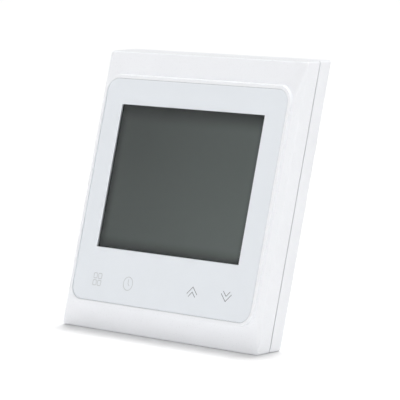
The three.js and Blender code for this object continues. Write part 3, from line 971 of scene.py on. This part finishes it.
def rear_cover():
    """The dished cover behind the control board, with screw posts, vents and latch ridges."""
    half, wall, radius = 42.4, 1.2, 1.4
    rim_front, rear = -5.9, area("rear_cover").rear
    floor = rear - 1.1
    outer = square(half)
    inner = outer.grown(-wall)
    rows = [
        (inner, -0.3, 0.6, floor),
        (inner, 0, 0.8, floor - 0.3),
        (inner, 0, 0.8, rim_front + 0.1),
        (inner, 0.1, 0.9, rim_front),
        (outer, -0.1, radius - 0.1, rim_front),
        (outer, 0, radius, rim_front + 0.1),
    ]
    rows += [(outer, by, radius + by, y) for by, y in arc((-0.5, rear - 0.5), 0.5, 0, 90, 5)]
    body = from_bmesh("rear_cover_shell", skin(outlines(rows, 8)))
    cutters = [plate("window", around(0, HEADER_Z, 6, 3.5), -9, 0, 0.5)]
    bore = [(1.25, -9), (1.25, floor), (2.2, floor), (2.2, rear - 0.3), (2.5, rear), (2.5, rear + 1)]
    for spot in COVER_SCREWS:
        boolean(body, rod("post", 2.6, BOARD.rear + 0.1, floor + 0.3, spot), "UNION")
        cutters.append(turned("bore", bore, spot))
    cutters += vents(-5, -3.5, -half - 1, -half + 3)
    cutters.append(plate("label_bed", around(0, 20, 24, 9), rear - 0.2, rear + 1, 1))
    for spot in ((-30, -25), (30, -25), (-30, 5), (30, 5), (0, 36), (0, -30)):
        cutters.append(rod("ejector_mark", 2, rear - 0.12, rear + 1, spot, 28))
    cut(body, *cutters)
    fit(weighted(smooth(body)), FRONT, "white_inner", "rear_cover")
    ridges = []
    for x in (-half - 0.1, half + 0.1):
        ridges += [block("ridge", around(x, z, 0.24, 4), -4.2, -3, 0.2, 3) for z in LATCH_Z]
    fit(joined("latch_ridges", ridges), FRONT, "white_inner")


def cover_screws():
    seat = area("rear_cover").rear - 1
    for i, spot in enumerate(COVER_SCREWS, 1):
        screw = pan_screw(f"rear_screw_{i}", spot, seat, 1, 6.1)
        fit(screw, FRONT, "zinc_steel", f"cover_screw_{i}")


# ---- wall unit

PLATE_FRONT = -4.95
BACK_WALL = -1.2
HOUSING = Area(-24, 24, -25.9, 22)
HOUSING_WALL = 1.4
POWER_SEAT = area("power_board").rear


def wall_plate():
    outer, recess, core = square(HALF), square(43), square(20)
    rear, lip, edge = PLATE.rear, 0.15, 0.35
    rows = [
        (recess, lip, 1 + lip, PLATE_FRONT),
        (outer, -lip, CORNER - lip, PLATE_FRONT),
        (outer, 0, CORNER, PLATE_FRONT + lip),
    ]
    rows += [(outer, by, CORNER + by, y) for by, y in arc((-edge, -edge), edge, 0, 90, 4)]
    rows += [
        (core, 0, 2, 0),
        (core, 0, 2, BACK_WALL),
        (recess, -0.3, 0.7, BACK_WALL),
        (recess, 0, 1, BACK_WALL - 0.3),
        (recess, 0, 1, PLATE_FRONT + lip),
    ]
    body = from_bmesh("wall_plate_shell", skin(outlines(rows, 16), ring=True))
    profile = [(0, BACK_WALL / 2)]
    profile += [(-inset, y) for inset, y in arc((-0.8, rear - 0.8), 0.8, 0, 90, 4)]
    boolean(body, stacked("housing", HOUSING, 2, profile), "UNION")
    cut(body, plate("inside", HOUSING.grown(-HOUSING_WALL), -3, rear - HOUSING_WALL, 1))
    for spot in BOARD_SCREWS:
        post = rod("post", 2.3, POWER_SEAT + 0.1, rear - HOUSING_WALL + 0.3, spot)
        boolean(body, post, "UNION")
    cut(body, *[rod("bore", 1.25, -3, 9, spot, 20) for spot in BOARD_SCREWS])
    for half_width, half_height, front, back, radius in (
        (2.2, 4.6, -3, 3, 2.15),
        (3.6, 6, -2, BACK_WALL + 0.35, 3.5),
    ):
        slots = [around(x, 0, half_width, half_height) for x in (-30, 30)]
        cut(body, *[plate("slot", slot, front, back, radius) for slot in slots])
    wires = Area(-18, 18, HOUSING.bottom - 1, HOUSING.bottom + 1.9)
    cutters = [plate("wires", wires, 3.9, 8.3)]
    hole = [(2.3, rear - 4), (2.3, rear - 0.45), (2.75, rear + 0.05), (2.75, rear + 1)]
    cutters += [turned("hole", hole, spot) for spot in TERMINALS]
    cutters += vents(-3.9, -2.1, -HALF - 1, -42)
    for x in (-43.4, 43.4):
        cutters += [block("catch", around(x, z, 0.6, 4.5), -4.4, -2.8, 0.1) for z in LATCH_Z]
    cutters.append(plate("label_bed", around(0, 8, 16, 8), rear - 0.2, rear + 1, 1))
    for spot in ((-38, 38), (38, 38), (-38, -38), (38, -38), (-36, 0), (36, 0), (0, 36), (0, -38)):
        cutters.append(rod("ejector_mark", 2.2, -0.12, 1, spot, 28))
    cut(body, *cutters)
    fit(weighted(smooth(body)), WALL, "white_housing", "wall_plate")


def plate_ribs():
    """Stiffening ribs in the recess."""
    shapes = []
    for side in (-1, 1):
        shapes += [around(side * 35, z, 7.5, 0.5) for z in (-34, -14, 14, 34)]
        shapes += [around(x, side * 35.5, 0.5, 7) for x in (-14, 14)]
    ribs = [block("rib", shape, -1.75, BACK_WALL + 0.05, 0.15) for shape in shapes]
    fit(joined("plate_ribs", ribs), WALL, "white_housing")


def pole_numbers():
    """The poles' raised numbers above their screws."""
    upright = Matrix.Rotation(pi, 4, "Z") @ Matrix.Rotation(pi / 2, 4, "X")
    digits = []
    for i, (x, z) in zip(POLES, TERMINALS):
        curve = bpy.data.curves.new("digit", "FONT")
        curve.body = str(i)
        curve.size = 3 * MM
        curve.extrude = 0.1 * MM
        curve.align_x = "CENTER"
        curve.resolution_u = 4
        digit = from_curve("digit", curve)
        spot = Vector((x, PLATE.rear + 0.05, z + 3.4)) * MM
        digit.data.transform(Matrix.Translation(spot) @ upright)
        digits.append(digit)
    fit(joined("pole_numbers", digits, 35), WALL, "white_housing")


def power_cover():
    shape = area("power_cover")
    sheet = plate("insulating_sheet", shape, *shape.depths, 1.5, 0.08, 6, 1)
    cutters = [plate("slot", around(0, HEADER_Z, 5.6, 2.9), -3, 0, 0.4, steps=3)]
    for column in range(7):
        for row in range(2):
            hole = around(-15 + column * 5, 14 + row * 4, 1.5, 0.6)
            cutters.append(plate("air_slot", hole, -3, 0, 0.55, steps=4))
    cut(sheet, *cutters)
    fit(smooth(sheet), WALL, "insulator", "power_cover")


def power_board():
    shape = area("power_board")
    panel = plate("power_panel", shape, *shape.depths, 0.6, 0.06, 4, 1)
    cutters = [plate("slot", around(0, HEADER_Z, 5.6, 2.9), -1, 3)]
    cutters += [rod("hole", 1.4, -1, 3, spot, 24) for spot in BOARD_SCREWS]
    cut(panel, *cutters)
    fit(smooth(panel), WALL, "board", "power_board")
    for i, spot in enumerate(BOARD_SCREWS, 1):
        screw = pan_screw(f"board_screw_{i}", spot, shape.front - 0.1, -1, 7)
        fit(screw, WALL, "zinc_steel", f"power_board_screw_{i}")
    places = [(area(f"contact_tab_{i}").middle[0], -16.4) for i in POLES]
    places += [(-14, 6), (-14, 16), (-2, 6), (-2, 16), (-18, -1.5), (-9, -1.5)]
    places += [(6, 7), (10, 7), (14, 7), (6, 16), (14, 16), (6.5, -1.4), (18.5, -1.4)]
    places += [(0, -4.5), (0, 1), (13, -8.6), (17, -8.6)]
    fit(solder_joints(places, shape.front), WALL, "solder")


def power_parts():
    fit(cased("relay_case", "relay", 0.7, 4), WALL, "relay_blue", "relay")
    shape = area("transformer")
    front, rear = shape.depths
    core = block("transformer_core", shape, front + 2.2, front + 10.6, 0.35)
    winding = block("transformer_winding", Area(4.5, 15.5, 5.2, 17.8), front, rear, 1.2, 4)
    fit(core, WALL, "core", "transformer")
    fit(winding, WALL, "winding_tape")
    fit(cased("film_case", "film_capacitor", 0.9, 4), WALL, "epoxy_yellow", "film_capacitor")


def fuse():
    """A ceramic tube along X with a metal cap on each end."""
    tube = area("fuse")
    left, right = tube.left + 2, tube.right - 2
    radius = (tube.rear - tube.front) / 2
    axis = (tube.front + radius, tube.middle[1])
    body = [(0, left), (radius - 0.12, left), (radius - 0.12, right), (0, right)]
    fit(turned("fuse_tube", body, axis, aside=True), WALL, "ceramic", "fuse")
    cap = [(0, 0), (radius - 0.3, 0), (radius, 0.3), (radius, 3), (radius - 0.2, 3), (0, 3)]
    caps = []
    for end, way in ((tube.left, 1), (tube.right, -1)):
        caps.append(turned("cap", [(r, end + way * d) for r, d in cap], axis, aside=True))
    fit(joined("fuse_caps", caps, 35), WALL, "zinc_steel")


def varistor():
    """A coated disc that faces along X, on two legs."""
    disc = area("varistor")
    radius, edge = (disc.rear - disc.front) / 2, 1.2
    axis = (disc.front + radius, disc.middle[1])
    profile = [(0, disc.left)]
    profile += arc((radius - edge, disc.left + edge), edge, -90, 0, 6)
    profile += arc((radius - edge, disc.right - edge), edge, 0, 90, 6)
    profile.append((0, disc.right))
    fit(turned("varistor_disc", profile, axis, aside=True), WALL, "epoxy_blue", "varistor")
    legs = [wire("leg", [(0, axis[0], z), (0, POWER_SEAT - 0.4, z * 1.3)], 0.5) for z in (-4, 0.6)]
    fit(joined("varistor_legs", legs), WALL, "solder")


def electrolytic_capacitor():
    """A sleeved can with a groove near its foot and a scored top."""
    can = area("electrolytic_capacitor")
    radius, spot = can.width / 2, can.middle
    front, top = can.depths
    side = [(0, front), (radius - 0.3, front), (radius, front + 0.3), (radius, front + 1.2)]
    side += [(radius - 0.35, front + 1.6), (radius, front + 2), (radius, top - 0.6)]
    side += [(radius - 0.5, top - 0.05), (radius - 0.9, top - 0.05), (0, top - 0.05)]
    fit(turned("capacitor_sleeve", side, spot, 40), WALL, "sleeve", "electrolytic_capacitor")
    profile = [(0, top - 0.3), (radius - 0.8, top - 0.3), (radius - 0.8, top), (0, top)]
    lid = turned("capacitor_top", profile, spot, 40)
    crossed(lid, spot, 2.2, 0.12, top - 0.08, top + 1)
    fit(smooth(lid), WALL, "can")


def header_socket():
    socket = cased("socket_body", "header_socket", 0.2)
    top = area("header_socket").rear
    profile = [(-0.18, -1), (-0.18, POWER_SEAT + 0.1), (0, POWER_SEAT + 0.4), (0, top - 1)]
    cut(socket, *[stacked("hole", around(*spot, 0.5, 0.5), 0, profile, 1) for spot in PINS])
    fit(smooth(socket, 50), WALL, "black_plastic", "header_socket")


def terminal_block():
    shape = area("terminal_block")
    body = cased("terminal_body", "terminal_block", 0.35, 2)
    shelf = area("contact_tab_1").rear
    cavity_rear, seat, top = 13.2, 14, shape.rear
    bore = [(1.5, cavity_rear - 0.3), (1.5, seat), (2.2, seat), (2.2, top - 0.5)]
    bore += [(2.4, top + 0.05), (2.4, top + 1)]
    for x, z in TERMINALS:
        cavity = Area(x - 2.4, x + 2.4, -23.2, -14)
        cut(body, plate("cavity", cavity, 3.6, cavity_rear, 0.3, steps=2))
        throat = Area(x - 1.6, x + 1.6, shape.bottom - 1, -23)
        foot = Area(x - 1.5, x + 1.5, -17.1, -14)
        cut(body, block("mouth", throat, 4.4, shelf - 0.8), plate("foot", foot, 2, 4))
        cut(body, turned("bore", bore, (x, z), 28))
    grooves = []
    for (before, _), (after, _) in zip(TERMINALS, TERMINALS[1:]):
        line = around((before + after) / 2, -19.5, 0.2, 5.5)
        grooves.append(block("groove", line, shape.rear - 0.4, shape.rear + 1))
    cut(body, *grooves)
    fit(smooth(body, 40), WALL, "terminal_green", "terminal_block")


def terminal_screw():
    """A slotted screw at the origin's axis, with a thread along its shank."""
    shape = area("terminal_screw_1")
    front, rear = shape.depths
    seat = 14.1
    profile = [(0, front), (0.9, front), (1.15, front + 0.25)]
    y = front + 0.25
    while y < seat - 1.3:
        profile += [(0.93, y + 0.25), (1.15, y + 0.5)]
        y += 0.5
    profile += [(1.15, seat - 0.4), (1.15, seat), (1.9, seat), (2.0, seat + 0.1)]
    profile += arc((2.0 - 0.25, rear - 0.25), 0.25, 0, 90, 4)
    profile.append((0, rear))
    screw = turned("screw", profile, (0, 0), 32, 30)
    cut(screw, block("slot", around(0, 0, 0.3, 3), rear - 0.8, rear + 1))
    return smooth(screw, 30)


def terminal_clamp():
    """A cage of bent strip round a wire mouth, with a hole for the screw's thread."""
    shape = area("terminal_clamp_1")
    front, rear = shape.depths
    cage = block("cage", around(0, 0, shape.width / 2, shape.height / 2), front, rear, 0.35, 3)
    cut(cage, block("mouth", around(0, 0, 1.55, 5), front + 0.8, rear - 1.1, 0.3, 2))
    cut(cage, rod("thread", 1.25, 9, 12, (0, 0), 28))
    return smooth(cage, 40)


def terminals():
    """Each pole's screw, clamp and contact tab, which is a strip bent to an L."""
    screw, clamp = terminal_screw(), terminal_clamp()
    for i, (x, z) in zip(POLES, TERMINALS):
        piece = copied(screw, f"slotted_screw_{i}", (x, 0, z))
        fit(piece, f"terminal_screw_{i}", "zinc_steel", f"terminal_screw_{i}")
        piece = copied(clamp, f"rising_clamp_{i}", (x, 0, z))
        fit(piece, f"terminal_clamp_{i}", "zinc_steel", f"terminal_clamp_{i}")
        tab, thickness = area(f"contact_tab_{i}"), 0.8
        inside = (tab.rear - thickness, tab.top - thickness)
        section = [(tab.front, tab.top), (tab.front, inside[1]), inside]
        section += [(inside[0], tab.bottom), (tab.rear, tab.bottom), (tab.rear, tab.top)]
        piece = strip(f"wire_tab_{i}", section, tab.left, tab.right)
        fit(piece, WALL, "brass", f"contact_tab_{i}")
    for template in (screw, clamp):
        bpy.data.objects.remove(template)


# ---- stage


def make_stage():
    bm = bmesh.new()
    bmesh.ops.create_grid(bm, x_segments=1, y_segments=1, size=30)
    floor = baked("floor", bm)
    floor.location.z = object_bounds()[0].z - 0.02 * MM
    look = Look("pale_floor", (0.97, 0.97, 0.97), 0.9)
    look.paint(look.noise(3, 2), 0.975, 0.98)
    floor.data.materials.append(look.material)


def area_light(name, place, size, power):
    """A square lamp that points at the object."""
    lamp = bpy.data.lights.new(name, "AREA")
    lamp.shape = "SQUARE"
    lamp.size = size
    lamp.energy = power
    thing = new_object(name, lamp)
    thing.location = place
    thing.rotation_euler = (-Vector(place)).to_track_quat("-Z", "Y").to_euler()


def make_light():
    """A white studio that is brightest at the horizon, with a high key lamp and three lower lamps."""
    world = bpy.data.worlds.new("studio")
    bpy.context.scene.world = world
    world.use_nodes = True
    studio = Nodes(world.node_tree)
    height = studio.axes(studio.add("ShaderNodeTexCoord")["Generated"])["Z"]
    sockets = {"Value": height, "From Max": 0.3, "To Min": 0.93, "To Max": 0.4}
    glow = studio.add("ShaderNodeMapRange", sockets, interpolation_type="SMOOTHSTEP")["Result"]
    background = studio.tree.nodes["Background"]
    background.inputs["Color"].default_value = (1, 1, 1, 1)
    studio.feed(background.inputs["Strength"], glow)
    overhead = bpy.data.lights.new("overhead", "SUN")
    overhead.energy = 2.0
    overhead.angle = radians(8)
    lamp = new_object("overhead", overhead)
    lamp.rotation_euler = (radians(-3.4), radians(-2.6), 0)
    area_light("right", (2.2, 0.4, 0.35), 1.2, 12.5)
    area_light("left", (-1.0, -1.4, 0.9), 1.2, 1.5)
    area_light("front", (-0.1, -2.0, 0.12), 0.4, 6.5)
    bpy.context.scene.view_settings.view_transform = "Standard"


# ---- all of it

make_camera()
looks = make_looks()

front_frame()
touch_panel()
key_symbols()
display_stack()
display_holder()
touch_springs()
control_board()
buzzer()
room_sensor()
pin_header()
rear_cover()
cover_screws()

wall_plate()
plate_ribs()
pole_numbers()
power_cover()
power_board()
power_parts()
fuse()
varistor()
electrolytic_capacitor()
header_socket()
terminal_block()
terminals()

for node in frame["record"]["subparts"]:
    thing = frame["nodes"][node["node"]]
    if not thing.hide_render:
        dress(thing, node["material_slot"])

make_stage()
make_light()
